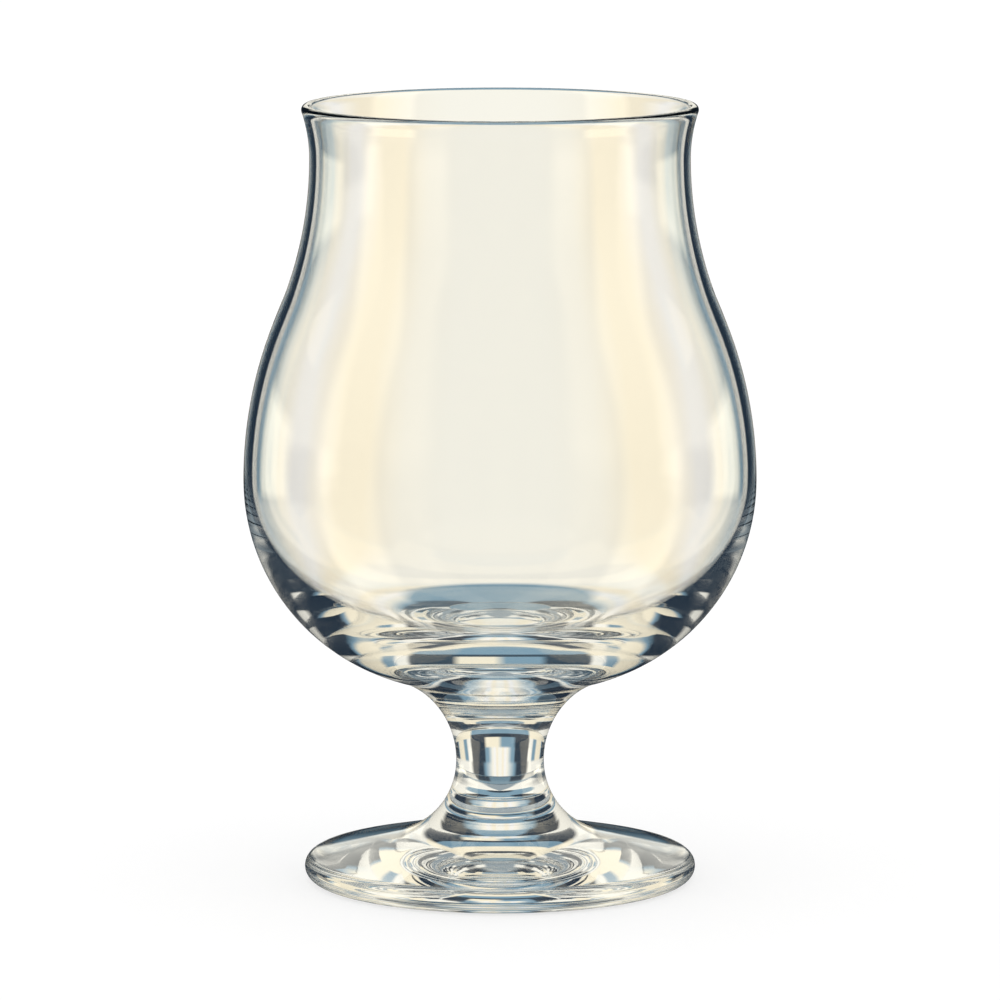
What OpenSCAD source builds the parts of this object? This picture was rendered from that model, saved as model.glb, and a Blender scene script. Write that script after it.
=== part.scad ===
// Tulip tasting glass: a blown bowl with a flared lip, a short waisted stem and a broad foot,
// fused to each other end to end. Every piece is turned about the Z axis and stands on Z = 0.

/* [Bowl] */
// Height of the rim above the table
rim_h = 140; // [130:0.5:150]
// Outer diameter at the belly, the widest place
belly_d = 92; // [84:0.5:100]
// Height of the belly above the table
belly_h = 72.5; // [66:0.5:80]
// Outer diameter at the neck, the narrowest place under the lip
neck_d = 68; // [60:0.5:76]
// Depth of the neck below the rim
neck_drop = 9.5; // [6:0.5:14]
// Radius of the hollow curve between the lip and the belly
neck_curve = 70; // [50:1:90]
// How far the rim stands out beyond the neck
lip_flare = 1.4; // [0.8:0.1:3]
// Thickness of the fire-polished rim
rim_t = 1.9; // [1.4:0.1:2.2]
// Wall from the neck to the belly
wall = 1.6; // [1.2:0.1:2.4]
// Glass on the axis between the floor of the bowl and the head of the stem
base_t = 12; // [8:0.5:14]

/* [Stem] */
// Diameter of the waist
waist_d = 15.8; // [12:0.1:20]
// Height of the waist above the table
waist_h = 21.5; // [19:0.5:25]
// Radius of the sweep from the waist up into the bowl
head_sweep = 16; // [12:0.5:20]
// How far the head stands out beyond the waist where the bowl is fused on
head_flare = 4.5; // [3:0.5:6]
// How far the toe stands out beyond the waist where the foot is fused on
toe_flare = 4.5; // [3:0.5:6]

/* [Foot] */
// Diameter of the foot
foot_d = 70.5; // [62:0.5:80]
// Thickness of the rounded edge
foot_edge = 4.5; // [3.5:0.1:6]
// Fall of the upper face, in degrees
foot_fall = 13; // [8:0.5:16]
// Width of the flat ring that stands on the table
ring_w = 4; // [2:0.5:8]
// Depth of the hollow inside that ring
kick = 1.2; // [0.6:0.1:2]

/* [Hidden] */
$fn = 96;
// Largest gap between a curve of the outline and its chords, and the largest turn of a chord
arc_sag = 0.02;
arc_turn = 10;

neck_r = neck_d / 2;
belly_r = belly_d / 2;
waist_r = waist_d / 2;
foot_r = foot_d / 2;

// Rim: a round bead, with the lip's two faces running into it
rim_r = rim_t / 2;
rim_c = [neck_r + lip_flare - rim_r, rim_h - rim_r];
neck_h = rim_h - neck_drop;
lip_rise = rim_c[1] - neck_h;
lip_curve = (pow(rim_r - lip_flare, 2) + pow(lip_rise, 2) - pow(rim_r, 2)) / (2 * lip_flare);
lip_c = [neck_r + lip_curve, neck_h];
lip_a = atan2(lip_rise, rim_c[0] - lip_c[0]);
// The same on the inside, where the wall swells from the neck to the bead
lip_in_gain = wall + lip_flare - rim_t;
lip_in_curve = (pow(rim_r - wall - lip_flare, 2) + pow(lip_rise, 2) - pow(rim_r, 2)) / (2 * lip_in_gain);
lip_in_c = [neck_r - wall + lip_in_curve, neck_h];
lip_in_a = atan2(lip_rise, rim_c[0] - lip_in_c[0]);

// Side: a hollow curve and a full curve that share one tangent between neck and belly
side_out = belly_r - neck_r;
side_rise = neck_h - belly_h;
side_curves = (pow(side_out, 2) + pow(side_rise, 2)) / (2 * side_out);
belly_curve = side_curves - neck_curve;
side_a = asin(side_rise / side_curves);
neck_c = [neck_r + neck_curve, neck_h];
belly_c = [belly_r - belly_curve, belly_h];

// Underside: one curve from the belly that runs into the stem's sweep
head_c = [waist_r + head_sweep, waist_h];
under_in = belly_r - head_c[0];
under_rise = belly_h - waist_h;
under_curve = (pow(under_in, 2) + pow(under_rise, 2) - pow(head_sweep, 2)) / (2 * (head_sweep + under_in));
under_c = [belly_r - under_curve, belly_h];
under_a = atan2(under_rise, under_c[0] - head_c[0]);

// Weld between the bowl and the stem
head_a = acos(head_flare / head_sweep - 1);
head_r = waist_r + head_flare;
head_h = waist_h + head_sweep * sin(head_a);

// Inside: a quarter round from the belly down to a flat floor
floor_h = head_h + base_t;
hollow_curve = belly_h - floor_h;
hollow_c = [belly_r - wall - hollow_curve, belly_h];

// Foot: round edge, straight fall, and the sweep up to the waist that touches both
edge_r = foot_edge / 2;
edge_c = [foot_r - edge_r, edge_r];
fall_top = edge_c + edge_r * [sin(foot_fall), cos(foot_fall)];
fall_room = waist_h - fall_top[1] - (fall_top[0] - waist_r) * tan(foot_fall);
toe_sweep = fall_room / (1 / cos(foot_fall) - tan(foot_fall));
toe_c = [waist_r + toe_sweep, waist_h];

// Weld between the stem and the foot
toe_a = 360 - acos(toe_flare / toe_sweep - 1);
toe_r = waist_r + toe_flare;
toe_h = waist_h + toe_sweep * sin(toe_a);

// Hollow under the foot
ring_r = edge_c[0] - ring_w;
kick_curve = (pow(ring_r, 2) + pow(kick, 2)) / (2 * kick);
kick_c = [0, kick - kick_curve];
kick_a = 90 - asin(ring_r / kick_curve);

// Points along an arc about c from angle a0 to angle a1, without the first
function arc(c, r, a0, a1) =
    let (step = min(arc_turn, 2 * acos(1 - arc_sag / r)))
    let (n = ceil(abs(a1 - a0) / step))
    [for (i = [1:n]) c + r * [cos(a0 + (a1 - a0) * i / n), sin(a0 + (a1 - a0) * i / n)]];

module bowl() {
    outside = concat(
        [[0, head_h], [head_r, head_h]],
        arc(head_c, head_sweep, head_a, under_a),
        arc(under_c, under_curve, under_a - 180, 0),
        arc(belly_c, belly_curve, 0, side_a),
        arc(neck_c, neck_curve, side_a + 180, 180),
        arc(lip_c, lip_curve, 180, lip_a),
        arc(rim_c, rim_r, lip_a - 180, 90)
    );
    inside = concat(
        arc(rim_c, rim_r, 90, lip_in_a),
        arc(lip_in_c, lip_in_curve, lip_in_a, 180),
        arc(neck_c, neck_curve + wall, 180, side_a + 180),
        arc(belly_c, belly_curve - wall, side_a, 0),
        arc(hollow_c, hollow_curve, 0, -90),
        [[0, floor_h]]
    );
    color("azure", 0.4) rotate_extrude() polygon(concat(outside, inside));
}

module stem() {
    side = concat(
        [[0, toe_h], [toe_r, toe_h]],
        arc(toe_c, toe_sweep, toe_a, 180),
        arc(head_c, head_sweep, 180, head_a),
        [[0, head_h]]
    );
    color("lightsteelblue", 0.5) rotate_extrude() polygon(side);
}

module foot() {
    side = concat(
        [[0, kick]],
        arc(kick_c, kick_curve, 90, kick_a),
        [[edge_c[0], 0]],
        arc(edge_c, edge_r, -90, 0),
        arc(edge_c, edge_r, 0, 90 - foot_fall),
        [toe_c - toe_sweep * [sin(foot_fall), cos(foot_fall)]],
        arc(toe_c, toe_sweep, 270 - foot_fall, toe_a),
        [[0, toe_h]]
    );
    color("aliceblue", 0.4) rotate_extrude() polygon(side);
}

bowl();
stem();
foot();
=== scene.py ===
# %% [markdown]
# # A tulip tasting glass
#
# A stemmed tasting glass is three gathers of hot glass fused end to end: a blown bowl, a drawn stem
# and a pressed foot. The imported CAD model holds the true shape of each. Clear glass bends light at
# every wall, so a facet that paint would hide shows at once. This lesson turns the three shapes again
# as fine smooth surfaces, gives each the finish that its making leaves, and then builds the studio
# that a glass needs, because a clear thing is seen only by what it bends and mirrors.

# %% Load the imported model
import math

import bmesh
import bpy
import numpy as np
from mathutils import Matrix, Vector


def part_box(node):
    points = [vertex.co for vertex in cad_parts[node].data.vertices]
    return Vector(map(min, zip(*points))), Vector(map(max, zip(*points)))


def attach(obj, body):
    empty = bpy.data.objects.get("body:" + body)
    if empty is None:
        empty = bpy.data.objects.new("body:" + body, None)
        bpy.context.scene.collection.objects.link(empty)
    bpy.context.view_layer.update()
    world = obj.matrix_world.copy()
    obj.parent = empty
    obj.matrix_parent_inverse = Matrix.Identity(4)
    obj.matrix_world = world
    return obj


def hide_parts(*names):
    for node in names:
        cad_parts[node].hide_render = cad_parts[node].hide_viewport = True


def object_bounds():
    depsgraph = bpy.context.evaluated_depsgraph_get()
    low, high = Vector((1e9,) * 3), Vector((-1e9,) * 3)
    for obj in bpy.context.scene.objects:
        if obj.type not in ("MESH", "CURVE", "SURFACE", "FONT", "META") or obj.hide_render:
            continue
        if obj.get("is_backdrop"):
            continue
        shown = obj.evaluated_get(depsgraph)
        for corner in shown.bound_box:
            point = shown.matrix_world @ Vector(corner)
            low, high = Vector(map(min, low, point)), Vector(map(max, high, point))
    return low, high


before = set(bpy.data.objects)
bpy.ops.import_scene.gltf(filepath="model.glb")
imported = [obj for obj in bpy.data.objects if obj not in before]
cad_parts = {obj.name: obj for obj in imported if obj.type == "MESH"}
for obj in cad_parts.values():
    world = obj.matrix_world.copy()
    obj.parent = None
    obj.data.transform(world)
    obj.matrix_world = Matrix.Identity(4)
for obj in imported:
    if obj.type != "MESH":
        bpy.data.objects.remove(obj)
cad_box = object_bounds()
scene = bpy.context.scene
MM_PER_M = 1000
print("pieces in the CAD model:", sorted(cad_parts))

# %% [markdown]
# ## Colour
#
# Colours are written as sRGB hex values, the way a paint chart or a picture editor gives them. Blender's
# shaders work in linear light, so one function converts them by the curve of the sRGB standard. The
# Standard view transform then brings a colour back to the value that was written.


# %% Hex to linear
def linear(hex_colour):
    srgb = [int(hex_colour[i:i + 2], 16) / 255 for i in (1, 3, 5)]
    return [c / 12.92 if c <= 0.04045 else ((c + 0.055) / 1.055) ** 2.4 for c in srgb] + [1.0]


scene.view_settings.view_transform = "Standard"
print("mid grey #808080 in linear light:", round(linear("#808080")[0], 3))

# %% [markdown]
# ## Camera
#
# The picture looks down on the glass a little: its rim is a thin ellipse and its foot a fuller one.
# How fast the ellipses open from rim to foot tells how far away the eye is. Setting the rim, the belly,
# the foot and the outline against the real sizes gives a long lens about 1.2 m away, which is also
# how a product photographer would keep the sides of a glass upright.

# %% Set the camera
CAMERA_BACK, CAMERA_HIGH, CAMERA_TILT = 1.2301, 0.2478, 8.281
FILM_WIDTH, LENS = 36, 249.34
camera = bpy.data.objects.new("camera", bpy.data.cameras.new("camera"))
scene.collection.objects.link(camera)
camera.location = (0, -CAMERA_BACK, CAMERA_HIGH)
camera.rotation_euler = (math.radians(90 - CAMERA_TILT), 0, 0)
camera.data.sensor_width = FILM_WIDTH
camera.data.lens = LENS
scene.camera = camera
aim = CAMERA_HIGH - CAMERA_BACK * math.tan(math.radians(CAMERA_TILT))
print("camera looks at height", round(aim, 4), "m")

# %% [markdown]
# ## Reading an outline
#
# Every piece is round, so half of its section says everything about it. The outline could be typed in
# again, but then it could drift from the CAD model. Cutting the CAD mesh with two planes leaves the half
# section as a chain of edges, which is followed from the axis round to the axis again.

# %% Half section of a CAD piece
SAME_SPOT, ON_PLANE = 1e-7, 1e-6


def half_section(node):
    bm = bmesh.new()
    bm.from_mesh(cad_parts[node].data)
    bmesh.ops.remove_doubles(bm, verts=bm.verts, dist=SAME_SPOT)
    for normal in ((-1, 0, 0), (0, -1, 0)):
        everything = bm.verts[:] + bm.edges[:] + bm.faces[:]
        bmesh.ops.bisect_plane(bm, geom=everything, dist=SAME_SPOT,
                               plane_co=(0, 0, 0), plane_no=normal, clear_outer=True)
    bm.verts.ensure_lookup_table()
    chain = {}
    for edge in bm.edges:
        a, b = edge.verts
        if abs(a.co.y) < ON_PLANE and abs(b.co.y) < ON_PLANE and max(a.co.x, b.co.x) > ON_PLANE:
            chain.setdefault(a.index, []).append(b.index)
            chain.setdefault(b.index, []).append(a.index)
    ends = sorted((v for v in chain if len(chain[v]) == 1), key=lambda v: bm.verts[v].co.z)
    walk = [ends[0]]
    while walk[-1] != ends[-1]:
        walk.append(next(v for v in chain[walk[-1]] if v not in walk[-2:-1]))
    points = np.array([(bm.verts[v].co.x, bm.verts[v].co.z) for v in walk])
    bm.free()
    return points


sections = {name: half_section(name) for name in ("bowl", "stem", "foot")}
for name, points in sections.items():
    print(name, len(points), "points, widest", round(2 * MM_PER_M * points[:, 0].max(), 2), "mm")

# %% [markdown]
# ## Fairing an outline
#
# The CAD outline is a string of short chords, cut from arcs that run into one another without a corner.
# Seen through glass, each chord would show as a band, so each is bent back into its arc. The chords of
# one arc are equally long and turn by equal angles, so half the turn to an equal neighbour is half the
# angle of the arc over a chord. A chord with no equal beside it takes what the next arc leaves over,
# which is nothing on a straight line. A turn sharper than 25 degrees stays a corner: there a piece was
# cut to be joined.

# %% Half the turn of the arc over each chord
CORNER = math.radians(25)
EQUAL_WITHIN = 0.02
STRAIGHT = 1e-6


def half_turns(chords, lengths):
    bends = np.diff(np.unwrap(np.arctan2(chords[:, 1], chords[:, 0])))
    beside = {i: [] for i in range(len(chords))}
    for i, bend in enumerate(bends):
        if abs(bend) < CORNER:
            beside[i].append((i + 1, bend))
            beside[i + 1].append((i, bend))
    half = {}
    for i in beside:
        equal = [bend / 2 for j, bend in beside[i] if abs(lengths[j] / lengths[i] - 1) < EQUAL_WITHIN]
        if equal:
            half[i] = np.mean(equal)
    for i in beside:
        if i not in half:
            half[i] = min([bend - half.get(j, 0) for j, bend in beside[i]] or [0], key=abs)
    return [half[i] if abs(half[i]) > STRAIGHT else STRAIGHT for i in beside]


print("a turn of more than", round(math.degrees(CORNER)), "degrees is a corner")

# %% [markdown]
# The arcs are then sampled finely, at least every 2.5 degrees and every 1.2 mm. Each sample keeps its
# outward normal, so that light bends smoothly between the samples too. At a corner two normals meet, and
# the wall's is kept: the other is that of the flat joint face, which no light ever sees.

# %% Smooth samples of an outline
TURN_STEP, LENGTH_STEP = math.radians(2.5), 0.0012
IN_LINE, NEARLY_FLAT = 1e-3, 1e-4


def fair(points):
    keep = [0]
    for i in range(1, len(points) - 1):
        before, after = points[i] - points[keep[-1]], points[i + 1] - points[i]
        bend = abs(before[0] * after[1] - before[1] * after[0])
        if bend > IN_LINE * np.hypot(*before) * np.hypot(*after):
            keep.append(i)
    p = points[keep + [len(points) - 1]]
    chords = np.diff(p, axis=0)
    lengths = np.hypot(*chords.T)
    samples, ahead, back = [], [], []
    for start, end, chord, length, half in zip(p, p[1:], chords, lengths, half_turns(chords, lengths)):
        along = chord / length
        left = np.array([-along[1], along[0]])
        by_turn = math.ceil(2 * abs(half) / TURN_STEP)
        by_length = math.ceil(length / LENGTH_STEP) if abs(half) > NEARLY_FLAT else 1
        turned = half * np.linspace(-1, 1, max(by_turn, by_length) + 1)[:, None]
        radius = length / 2 / math.sin(half)
        bulge = np.sin(turned) * along + (math.cos(half) - np.cos(turned)) * left
        arc = (start + end) / 2 + radius * bulge
        outward = np.sin(turned) * along - np.cos(turned) * left
        samples += list(arc[:-1])
        ahead += list(outward[:-1])
        back += list(outward[1:])
    samples = np.array(samples + [p[-1]])
    ahead, back = np.array(ahead + back[-1:]), np.array(ahead[:1] + back)
    wall = np.where(np.abs(ahead[:, 1:]) < np.abs(back[:, 1:]), ahead, back)
    return samples, wall


outlines = {name: fair(points) for name, points in sections.items()}
for name, (points, _) in outlines.items():
    lowest = round(MM_PER_M * points[:, 1].min(), 4)
    print(name, len(points), "samples along its outline, lowest", lowest, "mm")

# %% [markdown]
# Hot glass never changes its curve at once. Where one arc runs into the next, the normals begin to turn
# at another rate, and the eye catches that as a notch in the dark line along the edge. Each normal
# therefore becomes the mean of its neighbours along the outline, up to 5 mm each way. Where the outline
# is tightly bent, as at the rim, the reach is only a third of the radius, and it grows again with half
# the distance from there. No mean is taken across a crease.

# %% Ease the normals from arc to arc
REACH, CREASE = 0.005, math.radians(3)
SPOTS = 33


def ease(points, normals):
    steps = np.hypot(*np.diff(points, axis=0).T)
    along = np.concatenate([[0], np.cumsum(steps)])
    angle = np.unwrap(np.arctan2(normals[:, 1], normals[:, 0]))
    turns = np.abs(np.diff(angle))
    radii = np.where(turns < CREASE, steps / np.maximum(turns, STRAIGHT), np.inf)
    middles = (along[1:] + along[:-1]) / 2
    reach = [min(REACH, np.min(radii / 3 + np.abs(middles - here) / 2)) for here in along]
    cuts = [0, *(np.flatnonzero(turns >= CREASE) + 1), len(points)]
    eased = angle.copy()
    for first, end in zip(cuts, cuts[1:]):
        for i in range(first, end):
            width = min(reach[i], along[i] - along[first], along[end - 1] - along[i])
            spots = along[i] + np.linspace(-width, width, SPOTS)
            eased[i] = np.interp(spots, along[first:end], angle[first:end]).mean()
    return np.column_stack([np.cos(eased), np.sin(eased)]), math.degrees(np.abs(eased - angle).max())


for name, (points, wall) in outlines.items():
    eased, most = ease(points, wall)
    outlines[name] = points, eased
    print(name, "normals turned by at most", round(most, 2), "degrees")

# %% [markdown]
# ## Turning
#
# An outline becomes a vessel by going once round its axis, as clay does on a wheel. A Screw modifier
# could do it, but it would not carry the exact normals. Here each sample becomes a ring of points,
# neighbouring rings are joined with quads, and a sample on the axis closes with a fan. The flat faces
# where two pieces were fused go in a slot of their own: the glass has no surface there, so light must
# pass.

# %% Turn an outline into a closed piece
AROUND = 240
WALL_SLOT, WELD_SLOT = 0, 1


def turn(name, weld_levels):
    points, facing = outlines[name]
    angles = np.arange(AROUND) * 2 * math.pi / AROUND
    places, normals, rings = [], [], []
    for (r, z), (nr, nz) in zip(points, facing):
        first = len(places)
        if r < SAME_SPOT:
            places.append((0, 0, z))
            normals.append((0, 0, math.copysign(1, nz)))
            rings.append([first] * AROUND)
        else:
            places += [(r * math.cos(a), r * math.sin(a), z) for a in angles]
            normals += [(nr * math.cos(a), nr * math.sin(a), nz) for a in angles]
            rings.append(list(range(first, first + AROUND)))
    faces, slots = [], []
    for i, (a, b) in enumerate(zip(rings, rings[1:])):
        fused = any(np.abs(points[i:i + 2, 1] - z).max() < ON_PLANE for z in weld_levels)
        for j in range(AROUND):
            k = (j + 1) % AROUND
            faces.append(list(dict.fromkeys([a[j], a[k], b[k], b[j]])))
            slots.append(WELD_SLOT if fused else WALL_SLOT)
    mesh = bpy.data.meshes.new(name)
    mesh.from_pydata(places, [], faces)
    mesh.polygons.foreach_set("material_index", slots)
    mesh.polygons.foreach_set("use_smooth", [True] * len(faces))
    mesh.update()
    mesh.normals_split_custom_set_from_vertices(normals)
    piece = bpy.data.objects.new("turned_" + name, mesh)
    scene.collection.objects.link(piece)
    return piece


toe_level, head_level = (corner.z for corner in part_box("stem"))
pieces = {
    "bowl": turn("bowl", [head_level]),
    "stem": turn("stem", [head_level, toe_level]),
    "foot": turn("foot", [toe_level]),
}
for name, piece in pieces.items():
    bm = bmesh.new()
    bm.from_mesh(piece.data)
    print(name, len(piece.data.polygons), "faces,", round(bm.calc_volume() * 1e6, 2), "ml of glass,",
          sum(not e.is_manifold for e in bm.edges), "open edges")
    bm.free()

# %% [markdown]
# ## Adding nodes
#
# A finish is a small chain of nodes. One function adds a node: it takes the kind, what goes into its
# sockets, either another node's output or a plain value, and its other settings. The stops of a
# colour ramp are given as pairs of a place from 0 to 1 and a colour. A material starts with no nodes.


# %% One function for every node
def add(owner, kind, sockets=None, stops=None, **settings):
    node = owner.node_tree.nodes.new(kind)
    for key, value in settings.items():
        setattr(node, key, value)
    for socket, value in (sockets or {}).items():
        if isinstance(value, bpy.types.NodeSocket):
            owner.node_tree.links.new(value, node.inputs[socket])
        else:
            node.inputs[socket].default_value = value
    if stops:
        elements = node.color_ramp.elements
        while len(elements) > max(1, len(stops)):
            elements.remove(elements[-1])
        while len(elements) < len(stops):
            elements.new(1.0)
        for element, (place, colour) in zip(elements, stops):
            element.position, element.color = place, linear(colour)
    return node


def new_material(name):
    material = bpy.data.materials.new(name)
    material.use_nodes = True
    material.node_tree.nodes.clear()
    return material


print("pieces that wait for a finish:", len(pieces))

# %% [markdown]
# ## Glass
#
# The glass is soda-lime, the common glass of tableware: IOR 1.52, perfectly smooth where a flame
# has polished it, and very slightly warm in this light. It is one melt, but each piece is worked in its
# own way and the surface remembers it. The bowl is blown and turned in a wet mould, which leaves broad
# low waves lying round it, about 45 mm long and 9 mm high. The stem is drawn, so its streaks run along
# it, about 2.5 mm apart. The foot is pressed and spun out, and its waves are as broad as they are long,
# about 15 mm. All are only some thousandths of a millimetre deep: they can be felt by no finger, and show
# only as a slight life in the reflections, so they are bumps in the material and not in the mesh.

# %% Finishes of the three pieces
SODA_LIME_IOR, SODA_LIME_TINT = 1.52, "#FEFDFB"
FINISHES = {
    "bowl": ("blown_soda_lime_glass", (45, 45, 9), 0.006),
    "stem": ("drawn_soda_lime_glass", (2.5, 2.5, 40), 0.001),
    "foot": ("pressed_soda_lime_glass", (15, 15, 15), 0.004),
}
glasses = {}
for name, (finish, wave_mm, deep_mm) in FINISHES.items():
    glass = glasses[name] = new_material(finish)
    spot = add(glass, "ShaderNodeTexCoord")
    waves = add(glass, "ShaderNodeMapping", {
        "Vector": spot.outputs["Object"], "Scale": [MM_PER_M / mm for mm in wave_mm]})
    lumps = add(glass, "ShaderNodeTexNoise", {
        "Vector": waves.outputs["Vector"], "Scale": 1.0, "Detail": 0.0})
    bump = add(glass, "ShaderNodeBump", {
        "Height": lumps.outputs["Fac"], "Distance": deep_mm / MM_PER_M, "Strength": 1.0})
    clear = add(glass, "ShaderNodeBsdfPrincipled", {
        "Base Color": linear(SODA_LIME_TINT), "Roughness": 0.0, "IOR": SODA_LIME_IOR,
        "Transmission Weight": 1.0, "Normal": bump.outputs["Normal"]}, name="clear")
    add(glass, "ShaderNodeOutputMaterial", {"Surface": clear.outputs["BSDF"]})
    print(finish, "waves", wave_mm, "mm,", deep_mm * MM_PER_M, "micrometres deep")

# %% [markdown]
# ## Wear under the foot
#
# A glass stands on a narrow ring, and years of tables leave fine scuffs on that ring while all else
# stays bright. The wear is a matter of height alone: it is full at the table and gone a tenth of a
# millimetre above it. Real scuffs are a few hundredths of a millimetre wide, too fine to show here, so
# they are drawn coarser: a noise with grains of about 0.5 mm leaves most of the ring clear and frosts a
# spot here and there.

# %% Scuffed standing ring
WORN_BELOW, CLEAR_ABOVE = 0.00002, 0.0001
WORN_ROUGHNESS = 0.3
SCUFF_MM = 0.5
SCUFF_BEGINS, SCUFF_FULL = 0.6, 0.75
foot_glass = glasses["foot"]
spot = add(foot_glass, "ShaderNodeTexCoord")
height = add(foot_glass, "ShaderNodeSeparateXYZ", {"Vector": spot.outputs["Object"]})
near_table = add(foot_glass, "ShaderNodeMapRange", {
    "Value": height.outputs["Z"], "From Min": WORN_BELOW, "From Max": CLEAR_ABOVE,
    "To Min": WORN_ROUGHNESS, "To Max": 0.0})
grains = add(foot_glass, "ShaderNodeTexNoise", {
    "Vector": spot.outputs["Object"], "Scale": MM_PER_M / SCUFF_MM, "Detail": 2.0})
scuffs = add(foot_glass, "ShaderNodeMapRange", {
    "Value": grains.outputs["Fac"], "From Min": SCUFF_BEGINS, "From Max": SCUFF_FULL})
worn = add(foot_glass, "ShaderNodeMath", {
    0: near_table.outputs["Result"], 1: scuffs.outputs["Result"]}, operation="MULTIPLY")
foot_tree = foot_glass.node_tree
foot_tree.links.new(worn.outputs["Value"], foot_tree.nodes["clear"].inputs["Roughness"])
print("scuffs reach", CLEAR_ABOVE * MM_PER_M, "mm above the table")

# %% [markdown]
# ## Dressing the pieces
#
# Where bowl, stem and foot were fused, two flat faces lie together inside the glass. The melt left no
# surface there, so their slot is fully see-through: a ray crosses it without bending. Each turned
# piece then takes the place of its CAD node and rides on the same body.

# %% Materials on the pieces
fused = new_material("fused_glass_joint")
gone = add(fused, "ShaderNodeBsdfPrincipled", {"Base Color": linear("#FFFFFF"), "Alpha": 0.0})
add(fused, "ShaderNodeOutputMaterial", {"Surface": gone.outputs["BSDF"]})
for name, piece in pieces.items():
    piece.data.materials.append(glasses[name])
    piece.data.materials.append(fused)
    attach(piece, "root")
    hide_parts(name)
print("dressed:", [piece.name for piece in pieces.values()])

# %% [markdown]
# ## Floor
#
# The glass stands on opal acrylic lit from below, the usual table for glassware: part of its white is
# its own light, so that only a faint shadow is left round the foot. It lies a fifth of a millimetre low,
# so that its face and the standing ring never coincide. Glass would show the whole table, so the table
# is hidden from rays that leave the glass, and the studio below takes its place.

# %% Lit white table
OPAL, OWN_LIGHT = "#A0A0A0", 0.69
TABLE_RADIUS, TABLE_LEVEL = 12, -0.0002
opal = new_material("opal_acrylic_lit_from_below")
face = add(opal, "ShaderNodeBsdfDiffuse", {"Color": linear(OPAL)})
glow = add(opal, "ShaderNodeEmission", {"Strength": OWN_LIGHT})
both = add(opal, "ShaderNodeAddShader", {0: face.outputs["BSDF"], 1: glow.outputs["Emission"]})
add(opal, "ShaderNodeOutputMaterial", {"Surface": both.outputs["Shader"]})
bpy.ops.mesh.primitive_circle_add(
    vertices=128, radius=TABLE_RADIUS, fill_type="NGON", location=(0, 0, TABLE_LEVEL))
table = bpy.context.object
table.name = "table"
table.data.materials.append(opal)
table.visible_transmission = table.visible_glossy = False
table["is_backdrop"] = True
print("table", round(table.dimensions.x, 1), "m wide")

# %% [markdown]
# ## Studio
#
# Glass on white is drawn by dark cloth. A ray through the thin wall bends by about one degree half way
# out from the middle, six at nine tenths and over twenty-five at the edge, so cloths hung either side of
# a white window come out as lines along the outline: off-white in the middle, cream and grey beside it,
# slate and then navy at the rim of the shape. The solid base, stem and foot look much further round and
# up, so the cloths above the window give them their rings.
#
# The studio could be real cards, but near cards would also stand in the picture and cut the table. Here
# the world holds it, by direction only. First come the bearing of a ray, counted from the middle of the
# window round to the camera, and its lift above the table. A narrow seam parts left from right.

# %% Where a ray looks
SEAM = 0.03
world = bpy.data.worlds.new("studio")
scene.world = world
world.use_nodes = True
world.node_tree.nodes.clear()
look = add(world, "ShaderNodeTexCoord")
way = add(world, "ShaderNodeSeparateXYZ", {"Vector": look.outputs["Generated"]})
turned = add(world, "ShaderNodeMath", {0: way.outputs["X"], 1: way.outputs["Y"]}, operation="ARCTAN2")
bearing = add(world, "ShaderNodeMath", {0: turned.outputs["Value"]}, operation="ABSOLUTE")
half_turn = add(world, "ShaderNodeMath", {0: bearing.outputs["Value"], 1: math.pi}, operation="DIVIDE")
rise = add(world, "ShaderNodeMath", {0: way.outputs["Z"]}, operation="ARCSINE")
lift = add(world, "ShaderNodeMath", {0: rise.outputs["Value"]}, operation="DEGREES")
right_hand = add(world, "ShaderNodeMapRange", {
    "Value": way.outputs["X"], "From Min": -SEAM, "From Max": SEAM})
print("a ray straight back has bearing 0, one to the camera 180")

# %% [markdown]
# The cloths hang in storeys. A storey is a colour ramp over the bearing, the same to the left and to the
# right unless a second ramp is given. It begins at one lift, is fully there at a second and covers what
# is below it. A Mix node has sockets for several kinds of data under the same names, so those for colours
# are found by their number.

# %% Storeys of cloth
FACTOR, FIRST, SECOND, MIXED = 0, 6, 7, 2


def hang(storeys):
    colour = None
    for low, high, *sides in storeys:
        cloths = []
        for side in sides:
            stops = [(degrees / 180, c) for degrees, c in side]
            ramp = add(world, "ShaderNodeValToRGB", {"Fac": half_turn.outputs["Value"]}, stops)
            cloths.append(ramp.outputs["Color"])
        cloth = cloths[0]
        if len(cloths) > 1:
            cloth = add(world, "ShaderNodeMix", {
                FACTOR: right_hand.outputs["Result"], FIRST: cloths[0], SECOND: cloths[1]},
                data_type="RGBA").outputs[MIXED]
        if colour is None:
            colour = cloth
        else:
            above = add(world, "ShaderNodeMapRange", {
                "Value": lift.outputs["Value"], "From Min": low, "From Max": high})
            colour = add(world, "ShaderNodeMix", {
                FACTOR: above.outputs["Result"], FIRST: colour, SECOND: cloth},
                data_type="RGBA").outputs[MIXED]
    return colour


PAPER, SILK, PALE, MIST, CREAM = "#FFFDF2", "#FFF6DE", "#FFFBEC", "#FFFEFA", "#FFF6DC"
FOG, DUSK, SLATE, NAVY = "#C6D3D6", "#97A3A9", "#80A1B4", "#233140"
print("nine colours of cloth and paper")

# %% [markdown]
# At eye level stand the window and, beside it, the cloths that draw the outline: fog, slate and navy in
# turn, so that a slate line runs inside the dark one. Further round come a strip of paper at 32 degrees,
# a second window at 48 and a third at 90, so that the glass is clear from other sides too. The table is
# paper, with a dark runner to the left and right, and close to the foot it turns slate and at last navy.

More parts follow.
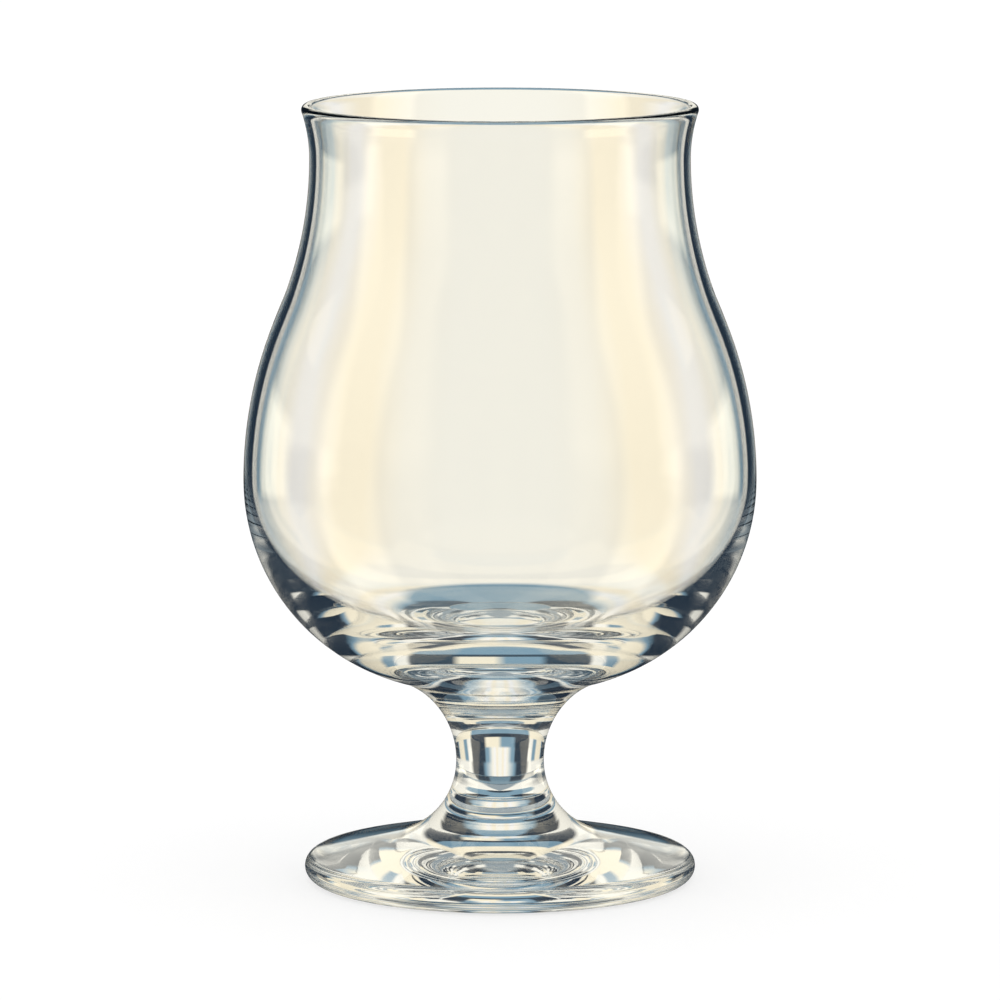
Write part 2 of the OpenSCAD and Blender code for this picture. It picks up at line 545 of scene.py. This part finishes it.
# %% Cloths at eye level and on the table
window = [(0, PAPER), (1.3, PAPER), (1.8, SILK), (3.2, SILK), (3.9, MIST), (5, MIST), (6, PALE)]
outline_cloths = [(6.5, PALE), (8.5, FOG), (10.5, SLATE), (12.5, SLATE), (14, NAVY), (28, NAVY),
                  (29.5, PAPER), (34, PAPER), (36, SLATE), (40, SLATE), (43, CREAM), (54, CREAM),
                  (57, SLATE), (59, NAVY)]
side_window = [(80, NAVY), (86, PAPER), (94, PAPER), (100, NAVY)]
eye_level = window + outline_cloths
table_paper = window + [(6.5, PALE), (10, FOG), (13.5, SLATE), (16.5, NAVY), (28, NAVY), (32, PAPER)]
near_foot = [(0, SLATE), (11, SLATE), (14, NAVY), (31, NAVY), (34, PAPER)]
print(len(eye_level), "stops of colour from the window to the dark side cloth")

# %% [markdown]
# Above eye level the cloths lie across the window like shelves, dark and light in turn. The first is
# slate on the left and cream on the right, and shows as the two halves of the pane in the stem. Each of
# the next gives one pair of rings in the base, the stem and the foot. Beside them hangs cream, then dark
# cloth. The dark cloth begins further round than beside the shelf, because the top of the foot looks
# there and should stay pale.

# %% Cloths above the window
beside_shelf = [(14, NAVY), (28, NAVY), (30, PAPER), (34, PAPER), (36, SLATE), (40, SLATE), (43, CREAM),
                (54, CREAM), (57, SLATE), (60, NAVY)]
beside_valance = [(70, CREAM), (74, SLATE), (78, NAVY)]


def shelf(colour):
    return [(0, colour), (11.5, colour)] + beside_shelf


def valance(colour, half_width=27):
    return [(0, colour), (half_width, colour), (half_width + 3, CREAM)] + beside_valance


window_side = hang([
    (-90, -90, [(0, NAVY)]),
    (-80, -76, [(0, SLATE)]),
    (-58, -54, near_foot),
    (-33, -31, table_paper),
    (-13, -10, eye_level + side_window),
    (2, 4, shelf(SLATE), shelf(CREAM)),
    (14, 15, valance(NAVY)),
    (19.5, 20.5, valance(SLATE)),
    (30, 32, valance(CREAM)),
    (42, 44, valance(NAVY, 40)),
    (55, 58, [(0, CREAM)]),
    (69, 71, [(0, SLATE)]),
])
print("twelve storeys of cloth on the window's side")

# %% [markdown]
# The inside of the far wall mirrors the room on the camera's side, so an image of that room lies faintly
# over the whole bowl and an edge in it would show as a ghost. That side is therefore kept soft: paper on
# the table fades slowly into dark cloth, a window at 135 degrees fades at its top, and the wall behind
# the camera is one plain grey at every height. The two sides of the room meet just past 90 degrees.

# %% The camera's side of the room
SIDES_MEET = 96, 100
camera_side = hang([
    (-90, -90, [(97, PAPER), (142, PAPER), (150, DUSK)]),
    (-60, 0, [(118, NAVY), (127, PAPER), (142, PAPER), (150, DUSK)]),
    (-8, 14, [(118, NAVY), (145, DUSK)]),
])
past_side = add(world, "ShaderNodeMapRange", {
    "Value": half_turn.outputs["Value"], "From Min": SIDES_MEET[0] / 180, "From Max": SIDES_MEET[1] / 180})
through = add(world, "ShaderNodeMix", {
    FACTOR: past_side.outputs["Result"], FIRST: window_side, SECOND: camera_side},
    data_type="RGBA").outputs[MIXED]
print("three storeys on the camera's side")

# %% [markdown]
# ## Reflections
#
# The outside of the glass mirrors only a twentieth of what stands before it, so the softboxes that draw
# the two long cream bands down the bowl are brighter than the cloth. They stand to the left and right of
# the camera, from 95 to 120 degrees round from the window. A low pair from 47 to 66 degrees lights the
# turn of the belly. Everything near the window is nearly black, which keeps the outline dark, but for a
# pale patch behind the glass that lies as a sheen on the flat of the foot.

# %% Softboxes for the outside of the glass
INK, STONE, ASH, HAZE, SHEEN = "#11181F", "#5A6870", "#727C82", "#8E8C86", "#C8C6BC"
BOX_BRIGHT = 2.5
tall_boxes = [(88, INK), (95, CREAM), (120, CREAM), (126, STONE), (180, ASH)]
low_boxes = [(42, INK), (47, CREAM), (66, CREAM), (74, INK)]
mirrored = hang([
    (-90, -90, [(0, HAZE)]),
    (-52, -42, [(0, INK)] + tall_boxes),
    (-10, -8, [(0, INK)] + low_boxes + tall_boxes),
    (2.5, 5, [(0, SHEEN), (9, SHEEN), (12, INK)] + tall_boxes),
    (14, 17, [(0, INK), (4.5, INK), (6, SHEEN), (19, SHEEN), (22, INK)] + tall_boxes),
    (40, 43, [(0, INK)] + tall_boxes),
    (43, 60, [(0, HAZE)]),
])
brighter = add(world, "ShaderNodeVectorMath", {0: mirrored, "Scale": BOX_BRIGHT}, operation="SCALE")
print("softboxes are", BOX_BRIGHT, "times as bright as paper")

# %% [markdown]
# ## Who sees what
#
# Light Path tells what kind of ray arrives. The camera and the table see plain white. A ray that bounced
# off the glass sees the softboxes, and one that came through it sees the cloth.

# %% Sort the rays
path = add(world, "ShaderNodeLightPath")
off_glass = add(world, "ShaderNodeMix", {
    FACTOR: path.outputs["Is Glossy Ray"], FIRST: linear("#FFFFFF"), SECOND: brighter.outputs["Vector"]},
    data_type="RGBA").outputs[MIXED]
all_rays = add(world, "ShaderNodeMix", {
    FACTOR: path.outputs["Is Transmission Ray"], FIRST: off_glass, SECOND: through},
    data_type="RGBA").outputs[MIXED]
light = add(world, "ShaderNodeBackground", {"Color": all_rays, "Strength": 1.0})
add(world, "ShaderNodeOutputWorld", {"Surface": light.outputs["Background"]})
print("studio of", len(world.node_tree.nodes), "nodes")

# %% [markdown]
# ## Enough bounces
#
# In the thick base a ray may be mirrored inside the glass a dozen times before it finds a way out. With
# the usual limits it would be dropped on the way and leave a black wedge, so the limits are raised.

# %% Let light find its way out
BOUNCES = 48
for limit in ("max_bounces", "glossy_bounces", "transmission_bounces", "transparent_max_bounces"):
    setattr(scene.cycles, limit, BOUNCES)
print("a ray may bounce", scene.cycles.max_bounces, "times")

# %% [markdown]
#
# The turned pieces should fill the box of the CAD model. Both boxes are measured, and the largest
# difference between their corners is printed.

# %% Compare both boxes
look_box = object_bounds()
gaps = [abs(a - b) for u, v in zip(cad_box, look_box) for a, b in zip(u, v)]
print("largest difference", round(max(gaps) * MM_PER_M, 4), "mm")
